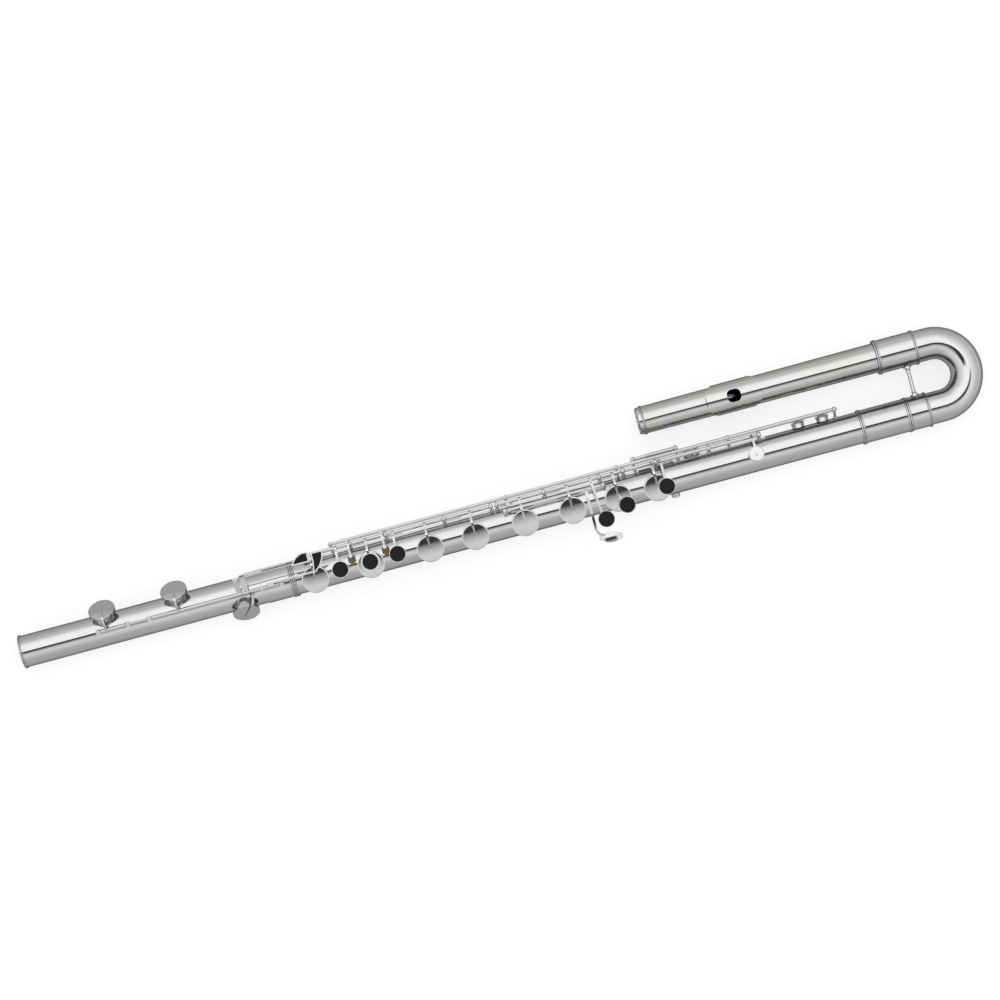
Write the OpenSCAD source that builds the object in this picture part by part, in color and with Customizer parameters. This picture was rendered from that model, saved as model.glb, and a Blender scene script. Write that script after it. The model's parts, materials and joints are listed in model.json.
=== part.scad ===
/* [Tubes] */
// Outside diameter of the foot and body tubes
body_od = 32.4; // [31.6:0.1:33.2]
// Wall of the foot, body and bend tubes
tube_wall = 0.5; // [0.4:0.05:0.7]
// Length of the foot joint from its open end
foot_len = 281; // [276:1:290]
// How far the body's tenon reaches into the foot joint
tenon_len = 26; // [20:1:32]
// Length of the body tube from the foot joint to the barrel
body_len = 586; // [580:1:600]
// Length of the barrel
barrel_len = 51.5; // [46:0.5:60]
// Wall of the barrel, the ferrule and the sleeve
sleeve_wall = 0.7; // [0.5:0.1:1]
// Length of the short ferrule on the bend's lower leg
ferrule_len = 20; // [14:1:26]
// Length of the sleeve on the bend's upper leg
sleeve_len = 42; // [34:1:48]
// Straight length between the ferrule and the curve of the bend
leg_len = 15; // [10:1:24]
// Centreline radius of the U bend
bend_r = 31.7; // [29:0.1:36]
// Gap between tubes that slide into each other
slip_gap = 0.05; // [0.02:0.01:0.1]

/* [Rings] */
// How far the joint rings stand proud of their tubes
ring_proud = 0.9; // [0.5:0.1:1.2]
// Width of one ring
ring_w = 3; // [2:0.25:4]

/* [Head] */
// Length of the head tube from its crown end to the sleeve
head_len = 238.6; // [232:0.2:252]
// Outside diameter of the head tube at the crown
head_od_crown = 27.9; // [27:0.1:28.6]
// Outside diameter of the head tube where it enters the sleeve
head_od_sleeve = 30.2; // [29.6:0.1:30.8]
// Distance from the crown end of the head tube to the embouchure hole
embouchure_at = 91.6; // [86:0.2:100]
// Length of the embouchure hole along the tube
hole_len = 14; // [12:0.5:15]
// Width of the embouchure hole across the tube
hole_width = 12.8; // [11:0.2:14]
// Height of the riser between the head tube and the lip plate
riser_h = 5; // [4:0.25:6]
// Length of the lip plate
plate_len = 56; // [50:1:62]
// Outside radius of the lip plate's curve
plate_r = 15.7; // [15.2:0.1:16.2]
// Thickness of the lip plate
plate_t = 0.9; // [0.7:0.1:1.2]
// Distance from the embouchure hole to the face of the stopper
stopper_at = 27; // [24:0.5:30]
// Length of the stopper's cork
cork_len = 22; // [16:1:28]
// Length of the crown outside the head tube
crown_len = 7.5; // [5:0.5:9]

/* [Tone holes] */
// Outside radius of a large chimney
chimney_r = 11.7; // [10.5:0.1:12]
// Outside radius of the thumb chimney
thumb_chimney_r = 8.2; // [7:0.1:8.6]
// Outside radius of the small C sharp chimney
small_chimney_r = 6.4; // [5.5:0.1:6.8]
// Outside radius of a trill chimney
trill_chimney_r = 5.8; // [5:0.1:6.2]
// Wall of a chimney
chimney_wall = 0.9; // [0.6:0.1:1.2]
// Height of a large chimney above the tube's crest
chimney_h = 3.8; // [3.4:0.1:4.2]
// Height of a small chimney above the tube's crest
small_chimney_h = 2.9; // [2.5:0.1:3.2]
// Turn of the main row of holes from the top of the tube
main_turn = -18.5; // [-21:0.5:-17]
// Turn of the two low foot holes from the top of the tube
foot_turn = 56; // [53:0.5:59]
// Turn of the D sharp hole from the top of the tube
d_sharp_turn = -57.5; // [-60:0.5:-55]
// Turn of the G sharp hole from the top of the tube
g_sharp_turn = -13; // [-16:0.5:-11]
// Turn of the thumb hole from the top of the tube
thumb_turn = 100; // [97:0.5:102]
// Turn of the trill holes from the top of the tube
trill_turn = 97; // [95:0.5:99]
// Turn of the small C sharp hole from the top of the tube
small_turn = 1.5; // [0:0.5:4]

/* [Hole places] */
// Low C hole from the open end
low_c_at = 90; // [87:0.5:94]
// Low C sharp hole from the open end
low_c_sharp_at = 164; // [160:0.5:170]
// D sharp hole before the middle joint
d_sharp_before = 52.4; // [52:0.2:55]
// D key's hole from the middle joint
d_at = 23.3; // [22:0.1:24]
// E key's hole from the middle joint
e_at = 80.4; // [79:0.2:82]
// F key's hole from the middle joint
f_at = 141.2; // [138:0.2:143]
// F sharp key's hole from the middle joint
f_sharp_at = 187.6; // [184:0.2:190]
// G sharp key's hole from the middle joint
g_sharp_at = 238.8; // [236:0.2:242]
// G key's hole from the middle joint
g_at = 287.3; // [285:0.2:288]
// A key's hole from the middle joint
a_at = 334.3; // [332:0.2:336]
// B flat key's hole from the middle joint
b_flat_at = 374.4; // [373:0.2:376]
// Thumb B key's hole from the middle joint
thumb_at = 417; // [415:0.5:419]
// Small C sharp hole from the middle joint
small_at = 478; // [474:0.5:480]
// D trill hole before the barrel
trill_d_before = 58.5; // [56:0.5:62]
// D sharp trill hole before the barrel
trill_d_sharp_before = 33.5; // [31:0.5:36]

/* [Keys] */
// Radius of a large cup
cup_r = 13.6; // [13.2:0.1:13.8]
// Height of a large cup
cup_h = 4.2; // [3.8:0.1:4.6]
// Thickness of a large pad
pad_t = 2.6; // [2.2:0.1:3]
// How deep a large pad sits in its cup
pad_seat = 1.8; // [1.4:0.1:2]
// Height of the crown on a large cup
crown_h = 1; // [0.6:0.1:1.2]
// Height of the crown on a small cup
small_crown_h = 0.3; // [0.2:0.05:0.4]
// Height of a small cup
small_cup_h = 3; // [2.8:0.1:3.4]
// Thickness of a small pad
small_pad_t = 1.9; // [1.6:0.1:2.2]
// Gap between a closed pad and its chimney
pad_gap = 0.15; // [0.1:0.05:0.25]
// Outside radius of a hinge tube of the main row and the foot
hinge_r = 2.1; // [1.8:0.1:2.3]
// Outside radius of a thin hinge tube
thin_hinge_r = 1.9; // [1.7:0.1:2]
// Radius of a steel rod
rod_r = 1.2; // [1:0.05:1.3]
// Running gap between a steel rod and its hinge tube
run_gap = 0.04; // [0.03:0.01:0.08]
// Gap between the ends of hinge tubes and their neighbours
end_gap = 0.3; // [0.2:0.05:0.4]
// How far the open keys of the main row stand off, in degrees
open_turn = 9; // [6:0.5:9.5]
// How far the low foot keys stand off, in degrees
foot_open_turn = 8; // [6:0.5:8.5]
// How far the C key stands off, in degrees
c_open_turn = 6; // [4:0.5:6.5]
// How far the thumb B key stands off, in degrees
thumb_open_turn = 9; // [7:0.5:9.5]
// Width of a key's arm where it leaves the hinge tube
arm_w = 2.6; // [2:0.1:3]
// Width of an arm at its point on the cup
arm_tip_w = 0.8; // [0.6:0.1:1.2]
// Length of the arm's point past the cup's centre
arm_tip = 5; // [3:0.5:6]
// Height of the bar that a touch hangs on
bar_t = 2; // [1.6:0.1:2.4]
// Radius of a round touch
touch_r = 8.4; // [7.8:0.1:8.6]
// Thickness of a round touch
touch_t = 2; // [1.6:0.1:2.4]
// Depth of the recess for a touch's black insert
inlay_depth = 0.9; // [0.6:0.1:1.2]
// How far a black insert stands proud of its touch
inlay_proud = 0.3; // [0.1:0.1:0.5]
// Rim of silver round a round black insert
inlay_rim = 0.5; // [0.4:0.1:0.8]
// Rim of silver round the C sharp and D sharp inserts
touch_rim = 1.2; // [0.8:0.1:1.5]

/* [Posts] */
// Radius of a post's ball
ball_r = 2.9; // [2.7:0.1:3.1]
// Width across a post's flats
post_w = 4.4; // [3.8:0.1:4.6]
// Wall of a bearing post round its hinge tube
bearing_wall = 0.8; // [0.6:0.1:0.9]
// Radius of a post's stem
stem_r = 1.3; // [1.1:0.1:1.5]
// Radius of a post's base
base_r = 2.4; // [2.1:0.1:2.5]
// Thickness of the long rib on the tube
rib_t = 0.8; // [0.6:0.1:1]
// Thickness of a post's base
base_h = 1.1; // [0.8:0.1:1.4]
// Width of the long rib under the main row's posts
rib_w = 5; // [4:0.25:5.5]
// Radius of a needle spring
spring_r = 0.35; // [0.3:0.05:0.45]

/* [Brace and socket] */
// Radius of the brace between the two legs
brace_r = 1.9; // [1.5:0.1:2.4]
// Radius of the brace's flanges
brace_flange_r = 4.2; // [3.5:0.1:5]
// Radius of the crutch socket's bore
crutch_r = 2.6; // [2:0.1:3]
// Depth of the crutch socket's bore
crutch_depth = 4.5; // [3.5:0.25:5]
// Wall of the crutch socket
crutch_wall = 1.8; // [1.4:0.1:2.2]
// Turn of the crutch socket from the top of the tube
crutch_turn = -120; // [-125:1:-115]
// Place of the crutch socket from the middle joint
crutch_at = 392; // [388:1:398]

/* [Hidden] */
$fn = 72;
SILVER = [0.86, 0.86, 0.88];
STEEL = [0.7, 0.7, 0.72];
BLACK = [0.12, 0.14, 0.15];
FELT = [0.93, 0.9, 0.82];
CORK = [0.72, 0.58, 0.42];

body_r = body_od / 2;
bore_r = body_r - tube_wall;
mid_x = foot_len;
barrel_x = mid_x + body_len;
barrel_end = barrel_x + barrel_len;
ferrule_x = barrel_end + end_gap;
bend_x = ferrule_x + ferrule_len + leg_len;
head_y = 2 * bend_r;
sleeve_x = bend_x - leg_len + 3 - sleeve_len;
crown_x = sleeve_x - head_len;
hole_x = crown_x + embouchure_at;
head_r0 = head_od_crown / 2;
head_r1 = head_od_sleeve / 2;
head_tenon = sleeve_len - 4;
sleeve_r = body_r + sleeve_wall;
ring_r = sleeve_r + ring_proud;
socket_r = body_r + slip_gap;
socket_x = mid_x - tenon_len - end_gap;
d_sharp_at = mid_x - d_sharp_before;
trill_d_x = barrel_x - trill_d_before;
trill_d_sharp_x = barrel_x - trill_d_sharp_before;
big = 60;
cut = 1;

// A point at an angle from the top of the tube and a distance from its axis, as [y, z]
function polar(turn, dist) = [dist * sin(turn), dist * cos(turn)];
// A quadratic curve through three points
function curve(a, b, c, steps) = [for (i = [0:steps]) let (t = i / steps)
    (1 - t) * (1 - t) * a + 2 * t * (1 - t) * b + t * t * c];

// Hinge lines, as an angle round the tube and a height over its surface
main_line = polar(57.7, body_r + 7);
trill_line = polar(65.7, body_r + 10.56);
thumb_line = polar(75, body_r + 12.8);
foot_line = polar(-1.4, body_r + 4.4);
lever_line = polar(31.5, body_r + 4.45);

rim_r = body_r + chimney_h;
small_rim_r = body_r + small_chimney_h;
pad_r = cup_r - 0.95;
cup_base = rim_r + pad_gap + pad_t - pad_seat;
cup_top = cup_base + cup_h;
small_seat = small_pad_t - 0.7;
small_cup_base = small_rim_r + pad_gap + small_pad_t - small_seat;
small_cup_top = small_cup_base + small_cup_h;
small_cup_r = small_chimney_r + 1.3;
thumb_cup_r = thumb_chimney_r + 1.4;
trill_cup_r = trill_chimney_r + 1.4;
bore_gap = rod_r + run_gap;

// Post places on each hinge line
foot_posts_at = [82, 112, 134.4, mid_x - 10.9];
d_sharp_bearing_at = mid_x - 31.6;
low_c_bracket_at = [mid_x - 49.6, mid_x - 44.4];
low_c_sharp_bracket_at = [mid_x - 56.4, mid_x - 51.6];
lower_posts_at = [mid_x + 16, mid_x + 64, mid_x + 101, mid_x + 161, mid_x + 209.4];
upper_posts_at = [mid_x + 215.2, mid_x + 264, mid_x + 321, mid_x + 345.5, mid_x + 379.3, mid_x + 485.6];
c_bearing_at = mid_x + 434;
trill_posts_at = [mid_x + 45.5, barrel_x - 21];
trill_bearings_at = [mid_x + 226, mid_x + 340, mid_x + 455];
thumb_posts_at = [mid_x + 358, mid_x + 402.5];
lever_posts_at = [mid_x + 222, mid_x + 323];

// Turns a child standing on the tube's top round the tube
module round_tube(x, turn) {
    translate([x, 0, 0]) rotate([-turn, 0, 0]) children();
}

// Swings a child about a hinge line
module swing(line, turn) {
    translate([0, line[0], line[1]]) rotate([turn, 0, 0]) translate([0, -line[0], -line[1]]) children();
}

// A straight round bar along X
module bar_x(x0, x1, r, line = [0, 0]) {
    translate([x0, line[0], line[1]]) rotate([0, 90, 0]) cylinder(r = r, h = x1 - x0);
}

// A flat outline in the Y and Z plane, given a width along X
module yz_plate(x, w, points) {
    translate([x - w / 2, 0, 0]) rotate([90, 0, 90]) linear_extrude(w) polygon(points);
}

// Ring of two round beads with a groove between them
module ring(x, r_in, r_out, w, line = [0, 0]) {
    bead = w / 4;
    translate([x, line[0], line[1]]) rotate([0, 90, 0]) rotate_extrude() difference() {
        union() {
            translate([r_in, 0]) square([r_out - bead - r_in, w]);
            for (y = [bead, w - bead]) translate([r_out - bead, y]) circle(r = bead);
        }
        square([r_in, w]);
    }
}

// Chimney with a thin bead round its rim
module chimney(x, turn, r, rim) {
    bead = 0.35;
    round_tube(x, turn) {
        cylinder(r = r, h = rim);
        translate([0, 0, rim - 2 * bead]) cylinder(r = r + bead, h = 2 * bead);
    }
}

module chimney_bore(x, turn, r, rim) {
    round_tube(x, turn) cylinder(r = r - chimney_wall, h = rim + cut);
}

// Post with a ball head; seat_r is the radius of the round surface that it stands on
module post(x, line, base_turn, bore, seat_r = body_r, head_r = ball_r) {
    base = polar(base_turn, body_r - 0.2);
    reach = line - base;
    difference() {
        union() {
            intersection() {
                translate([x, line[0], line[1]]) sphere(r = head_r);
                translate([x - post_w / 2, line[0] - big, line[1] - big]) cube([post_w, 2 * big, 2 * big]);
            }
            translate([x, base[0], base[1]]) rotate([-atan2(reach[0], reach[1]), 0, 0])
                cylinder(r = stem_r, h = norm(reach));
            round_tube(x, base_turn) cylinder(r = base_r, h = seat_r + base_h);
        }
        bar_x(x - post_w, x + post_w, bore, line);
        bar_x(x - big, x + big, seat_r);
    }
}

module rib(x0, x1, turn, w) {
    intersection() {
        difference() {
            bar_x(x0, x1, body_r + rib_t);
            bar_x(x0 - cut, x1 + cut, body_r + slip_gap);
        }
        rotate([-turn, 0, 0]) translate([x0 - cut, -w / 2, 0]) cube([x1 - x0 + 2 * cut, w, big]);
    }
}

// Shallow cup with a sloping rim, a crowned top inside it, and a seat for its pad
module cup(r, h, seat, crown, seat_r) {
    edge = 0.35;
    rim_w = 0.9;
    rim_drop = 0.35;
    side = h - crown;
    top_r = r - rim_w;
    ball = (top_r * top_r + crown * crown) / (2 * crown);
    difference() {
        union() {
            cylinder(r1 = r - edge, r2 = r, h = edge);
            translate([0, 0, edge]) cylinder(r = r, h = side - edge - rim_drop);
            translate([0, 0, side - rim_drop]) cylinder(r1 = r, r2 = top_r, h = rim_drop);
            intersection() {
                translate([0, 0, h - ball]) sphere(r = ball, $fn = 200);
                translate([0, 0, side - rim_drop]) cylinder(r = top_r, h = h);
            }
        }
        translate([0, 0, -cut]) cylinder(r = seat_r, h = seat + cut);
    }
}

// Swan-necked arm from a hinge line over a cup, pointed past the cup's centre.
// hy and hz are the hinge line's place in the cup's own frame.
module cup_arm(hy, hz, r, top, crown, tip, w, tube_r) {
    side = hy < 0 ? -1 : 1;
    y = abs(hy);
    low = top - crown - 0.3;
    outer = curve([y + tube_r - 0.3, hz], [y + tube_r - 1, top + 1.4], [r - 1.8, top + 0.8], 8);
    inner = curve([r - 0.8, low], [y - 1.3, top - 1.4], [y - 1.6, hz], 8);
    profile = concat(outer, [[0, top + 1.1], [-tip, top + 0.4], [-tip, low], [0, low]], inner);
    plan = [[y + tube_r + 1, w / 2], [r - 2, w / 2 - 0.2], [-tip, arm_tip_w / 2], [-tip, -arm_tip_w / 2],
        [r - 2, 0.2 - w / 2], [y + tube_r + 1, -w / 2]];
    intersection() {
        rotate([90, 0, 90]) translate([0, 0, -w]) linear_extrude(2 * w)
            polygon([for (p = profile) [side * p[0], p[1]]]);
        linear_extrude(big) polygon([for (p = plan) [p[1], side * p[0]]]);
    }
}

// Cup, arm and hinge tube of one key, as it stands when the hole is closed
module closed_key(x, turn, line, r, base, h, seat, crown, seat_r, tube_r, w = arm_w, tip = arm_tip) {
    hy = line[0] * cos(turn) - line[1] * sin(turn);
    hz = line[0] * sin(turn) + line[1] * cos(turn);
    round_tube(x, turn) {
        translate([0, 0, base]) cup(r, h, seat, crown, seat_r);
        cup_arm(hy, hz, r, base + h, crown, tip, w, tube_r);
    }
}

module main_cup(x, hole_turn = main_turn) {
    closed_key(x, hole_turn, main_line, cup_r, cup_base, cup_h, pad_seat, crown_h, pad_r + slip_gap, hinge_r);
}

module main_pad(x, turn, hole_turn = main_turn) {
    swing(main_line, turn) round_tube(x, hole_turn)
        translate([0, 0, rim_r + pad_gap]) cylinder(r = pad_r, h = pad_t);
}

// Arm in the Y and Z plane from a hinge line to a touch, as it stands at rest
module touch_arm(x, line, y_end, z_top, w = 2.2, tube_r = hinge_r, slant = 0) {
    outer = curve([line[0] + tube_r - 0.3, line[1]], [line[0] + tube_r - 0.6, z_top + 0.4], [line[0] - 8, z_top], 8);
    inner = curve([line[0] - 8.4, z_top - bar_t], [line[0] - 1.2, z_top - bar_t - 0.3], [line[0] - 1.6, line[1]], 8);
    translate([x, line[0], 0]) rotate([0, 0, slant]) translate([-x, -line[0], 0])
        yz_plate(x, w, concat(outer, [[y_end, z_top], [y_end, z_top - bar_t]], inner));
}

// Round touch with a recess for its insert; z is its underside
module touch_disc(x, y, z) {
    edge = 0.5;
    translate([x, y, z]) difference() {
        union() {
            cylinder(r1 = touch_r - edge, r2 = touch_r, h = edge);
            translate([0, 0, edge]) cylinder(r = touch_r, h = touch_t - edge);
        }
        translate([0, 0, touch_t - inlay_depth]) cylinder(r = touch_r - inlay_rim, h = touch_t);
    }
}

module round_inlay(x, y, z) {
    edge = 0.25;
    r = touch_r - inlay_rim - slip_gap;
    color(BLACK) translate([x, y, z + touch_t - inlay_depth]) {
        cylinder(r = r, h = inlay_depth + inlay_proud - edge);
        translate([0, 0, inlay_depth + inlay_proud - edge]) cylinder(r1 = r, r2 = r - edge, h = edge);
    }
}

// Hinge tube between two places on the main line
module main_tube(x0, x1) {
    bar_x(x0, x1, hinge_r, main_line);
}

module main_bore(x0, x1) {
    bar_x(x0 - cut, x1 + cut, bore_gap, main_line);
}

// Tube end next to a post
function after(post_x) = post_x + post_w / 2 + end_gap;
function before(post_x) = post_x - post_w / 2 - end_gap;

foot_holes = [low_c_at, low_c_sharp_at];
main_holes = [for (at = [d_at, e_at, f_at, f_sharp_at, g_at, a_at, b_flat_at]) mid_x + at];
trill_holes = [trill_d_x, trill_d_sharp_x];

module foot_tube() {
    color(SILVER) difference() {
        union() {
            bar_x(0, mid_x, body_r);
            bar_x(socket_x - 2, mid_x, sleeve_r);
            for (x = foot_holes) chimney(x, foot_turn, chimney_r, rim_r);
            chimney(d_sharp_at, d_sharp_turn, chimney_r, rim_r);
        }
        bar_x(-cut, mid_x, bore_r);
        bar_x(socket_x, mid_x + cut, socket_r);
        for (x = foot_holes) chimney_bore(x, foot_turn, chimney_r, rim_r);
        chimney_bore(d_sharp_at, d_sharp_turn, chimney_r, rim_r);
    }
}

module foot_rings() {
    color(SILVER) {
        ring(0, body_r + slip_gap, body_r + ring_proud, ring_w);
        ring(mid_x - ring_w, sleeve_r + slip_gap, ring_r, ring_w);
    }
}

module body_tube() {
    color(SILVER) difference() {
        union() {
            bar_x(mid_x - tenon_len, barrel_x + 8, body_r);
            ring(mid_x + end_gap, body_r - tube_wall / 2, ring_r, ring_w);
            for (x = main_holes) chimney(x, main_turn, chimney_r, rim_r);
            chimney(mid_x + g_sharp_at, g_sharp_turn, chimney_r, rim_r);
            chimney(mid_x + small_at, small_turn, small_chimney_r, small_rim_r);
            chimney(mid_x + thumb_at, thumb_turn, thumb_chimney_r, small_rim_r);
            for (x = trill_holes) chimney(x, trill_turn, trill_chimney_r, small_rim_r);
        }
        bar_x(mid_x - tenon_len - cut, barrel_end, bore_r);
        for (x = main_holes) chimney_bore(x, main_turn, chimney_r, rim_r);
        chimney_bore(mid_x + g_sharp_at, g_sharp_turn, chimney_r, rim_r);
        chimney_bore(mid_x + small_at, small_turn, small_chimney_r, small_rim_r);
        chimney_bore(mid_x + thumb_at, thumb_turn, thumb_chimney_r, small_rim_r);
        for (x = trill_holes) chimney_bore(x, trill_turn, trill_chimney_r, small_rim_r);
    }
}

module foot_posts() {
    color(SILVER) {
        for (x = [foot_posts_at[0], foot_posts_at[1], foot_posts_at[2]]) post(x, foot_line, -1.4, bore_gap);
        post(foot_posts_at[3], foot_line, -1.4, bore_gap, sleeve_r);
        post(d_sharp_bearing_at, foot_line, -1.4, hinge_r + run_gap, body_r, hinge_r + bearing_wall);
    }
}

module body_posts() {
    rib_turn = 66;
    color(SILVER) {
        difference() {
            rib(lower_posts_at[0] - 5, upper_posts_at[5] + 6, rib_turn, rib_w);
            round_tube(mid_x + thumb_at, thumb_turn) cylinder(r = thumb_chimney_r + end_gap, h = big);
        }
        for (x = lower_posts_at) post(x, main_line, rib_turn, rod_r, body_r + rib_t);
        for (x = upper_posts_at) post(x, main_line, rib_turn, rod_r, body_r + rib_t);
        post(c_bearing_at, main_line, rib_turn, hinge_r + run_gap, body_r + rib_t, hinge_r + bearing_wall);
        for (x = trill_posts_at) post(x, trill_line, 80, bore_gap, body_r, thin_hinge_r + bearing_wall);
        for (x = trill_bearings_at)
            post(x, trill_line, 80, thin_hinge_r + run_gap, body_r, thin_hinge_r + bearing_wall);
        for (x = thumb_posts_at) post(x, thumb_line, 86, rod_r);
        for (x = lever_posts_at) post(x, lever_line, 31.5, rod_r);
    }
}

module steel_rods() {
    head = 1.2;
    color(STEEL) {
        bar_x(lower_posts_at[0] - head, lower_posts_at[4] + head, rod_r, main_line);
        bar_x(upper_posts_at[0] - head, upper_posts_at[5] + head, rod_r, main_line);
        bar_x(thumb_posts_at[0] - head, thumb_posts_at[1] + head, rod_r, thumb_line);
        bar_x(lever_posts_at[0] - head, lever_posts_at[1] + head, rod_r, lever_line);
    }
}

// Needle springs, pressed into the post stems and lying under the hinge tubes
module needle_springs() {
    under = main_line - polar(50, hinge_r + 1.5);
    foot_under = foot_line - polar(-1.4, hinge_r + 1);
    color(STEEL) {
        for (x = [lower_posts_at[0], lower_posts_at[1], lower_posts_at[2], lower_posts_at[3], upper_posts_at[0],
            upper_posts_at[1], upper_posts_at[2], upper_posts_at[4]]) bar_x(x, x + 17, spring_r, under);
        bar_x(foot_posts_at[0], foot_posts_at[0] + 20, spring_r, foot_under);
        bar_x(foot_posts_at[2], foot_posts_at[2] + 20, spring_r, foot_under);
    }
}

module barrel() {
    color(SILVER) difference() {
        union() {
            bar_x(barrel_x, barrel_end, sleeve_r);
            ring(barrel_x, body_r, ring_r, ring_w * 1.3);
            ring(barrel_end - ring_w * 1.3, body_r, ring_r, ring_w * 1.3);
        }
        bar_x(barrel_x - cut, barrel_end + cut, body_r + slip_gap);
    }
}

// Straight legs and half ring of the U bend, with the tenon that enters the barrel
module bend_tube() {
    tenon_start = barrel_x + 10;
    color(SILVER) difference() {
        union() {
            bar_x(tenon_start, bend_x, body_r);
            bar_x(sleeve_x + sleeve_len - 10, bend_x, body_r, [head_y, 0]);
            translate([bend_x, bend_r, 0]) intersection() {
                rotate_extrude() translate([bend_r, 0]) circle(r = body_r);
                translate([0, -big, -big]) cube(2 * big);
            }
        }
        bar_x(tenon_start - cut, bend_x, bore_r);
        bar_x(sleeve_x, bend_x, bore_r, [head_y, 0]);
        translate([bend_x, bend_r, 0]) intersection() {
            rotate_extrude() translate([bend_r, 0]) circle(r = bore_r);
            translate([0, -big, -big]) cube(2 * big);
        }
    }
}

module lower_ferrule() {
    color(SILVER) difference() {
        union() {
            bar_x(ferrule_x, ferrule_x + ferrule_len, sleeve_r);
            ring(ferrule_x + ferrule_len - ring_w, body_r, ring_r, ring_w);
        }
        bar_x(ferrule_x - cut, ferrule_x + ferrule_len + cut, body_r + slip_gap);
    }
}

// Sleeve on the upper leg: a socket for the head tube's end
module upper_sleeve() {
    line = [head_y, 0];
    color(SILVER) difference() {
        union() {
            bar_x(sleeve_x, sleeve_x + sleeve_len, sleeve_r, line);
            ring(sleeve_x, body_r - 2, ring_r, ring_w * 1.3, line);
            ring(sleeve_x + sleeve_len - ring_w, body_r, ring_r, ring_w, line);
        }
        bar_x(sleeve_x + sleeve_len - 10, sleeve_x + sleeve_len + cut, body_r + slip_gap, line);
        bar_x(sleeve_x - cut, sleeve_x + sleeve_len, head_r1 + slip_gap, line);
    }
}

module brace() {
    x = ferrule_x + ferrule_len / 2;
    collar = 0.8;
    color(SILVER) difference() {
        translate([x, 0, 0]) rotate([-90, 0, 0]) {
            cylinder(r = brace_r, h = head_y);
            cylinder(r = brace_flange_r, h = sleeve_r + 1.2);
            translate([0, 0, head_y - sleeve_r - 1.2]) cylinder(r = brace_flange_r, h = sleeve_r);
            for (z = [sleeve_r + 3.4, head_y - sleeve_r - 3.4 - collar])
                translate([0, 0, z]) cylinder(r = brace_r + 0.8, h = collar);
            translate([0, 0, sleeve_r]) cylinder(r1 = brace_flange_r - 1, r2 = brace_r, h = 3.4);
            translate([0, 0, head_y - sleeve_r - 3.4]) cylinder(r1 = brace_r, r2 = brace_flange_r - 1, h = 3.4);
        }
        bar_x(x - big, x + big, sleeve_r);
        bar_x(x - big, x + big, sleeve_r, [head_y, 0]);
    }
}

// Outline of the embouchure hole: a round-cornered rectangle
module hole_outline(grow) {
    corner = 5;
    l = hole_len / 2 + grow - corner;
    w = hole_width / 2 + grow - corner;
    square([2 * (l + corner), 2 * w], center = true);
    square([2 * l, 2 * (w + corner)], center = true);
    for (x = [-l, l]) for (y = [-w, w]) translate([x, y]) circle(r = corner);
}

module head_cone(x0, x1, shrink) {
    slope = (head_r1 - head_r0) / head_len;
    ra = head_r0 + slope * (x0 - crown_x) - shrink;
    rb = head_r0 + slope * (x1 - crown_x) - shrink;
    translate([x0, head_y, 0]) rotate([0, 90, 0]) cylinder(r1 = ra, r2 = rb, h = x1 - x0, $fn = 96);
}

module head_tube() {
    color(SILVER) difference() {
        union() {
            head_cone(crown_x, sleeve_x, 0);
            bar_x(sleeve_x, sleeve_x + head_tenon - 8, head_r1, [head_y, 0]);
        }
        head_cone(crown_x - cut, sleeve_x + cut, tube_wall);
        bar_x(sleeve_x, sleeve_x + sleeve_len, head_r1 - tube_wall, [head_y, 0]);
        translate([hole_x, head_y, 0]) linear_extrude(big) hole_outline(0);
    }
}

plate_drop = head_r0 + riser_h + 0.45 - plate_r;

module lip_plate() {
    corner = 11;
    half = plate_len / 2;
    color(SILVER) difference() {
        intersection() {
            bar_x(hole_x - half, hole_x + half, plate_r, [head_y, plate_drop]);
            translate([hole_x, head_y, plate_drop - 1]) linear_extrude(big) union() {
                square([plate_len, 2 * (plate_r - corner)], center = true);
                square([plate_len - 2 * corner, 2 * plate_r + 1], center = true);
                for (x = [corner - half, half - corner]) for (y = [corner - plate_r, plate_r - corner])
                    translate([x, y]) circle(r = corner);
            }
        }
        bar_x(hole_x - half - cut, hole_x + half + cut, plate_r - plate_t, [head_y, plate_drop]);
        translate([hole_x, head_y, 0]) linear_extrude(big) hole_outline(0);
    }
}

// The riser is the short wall round the hole, between the head tube and the lip plate
module riser() {
    color(SILVER) difference() {
        translate([hole_x, head_y, 0]) linear_extrude(big) difference() {
            hole_outline(1.1);
            hole_outline(0);
        }
        head_cone(crown_x, sleeve_x, 0);
        difference() {
            translate([hole_x - big, head_y - big, -big]) cube(2 * big);
            bar_x(hole_x - big, hole_x + big, plate_r - plate_t, [head_y, plate_drop]);
        }
    }
}

module crown() {
    edge = 1.6;
    line = [head_y, 0];
    x0 = crown_x - crown_len;
    color(SILVER) difference() {
        union() {
            translate([x0, head_y, 0]) rotate([0, 90, 0]) cylinder(r1 = head_r0 - edge, r2 = head_r0 - 0.2, h = edge);
            bar_x(x0 + edge, crown_x, head_r0 - 0.2, line);
            ring(crown_x - ring_w, head_r0 - 1, head_r0 + 0.9, ring_w, line);
            bar_x(crown_x - cut, crown_x + 6, head_r0 - tube_wall - slip_gap, line);
        }
        bar_x(x0 + 1.4, crown_x + big, head_r0 - 2.4, line);
    }
    color(SILVER) difference() {
        bar_x(x0 + 1.4, crown_x + 2, 4.2, line);
        bar_x(x0 + 3, crown_x + big, 2.2, line);
    }
}

stopper_face = hole_x - stopper_at;
plate_disc = 1;

module stopper_cork() {
    r = head_r0 - tube_wall;
    color(CORK) difference() {
        bar_x(stopper_face - plate_disc - cork_len, stopper_face - plate_disc, r - 0.1, [head_y, 0]);
        bar_x(crown_x, stopper_face, 2.1, [head_y, 0]);
    }
}

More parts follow.
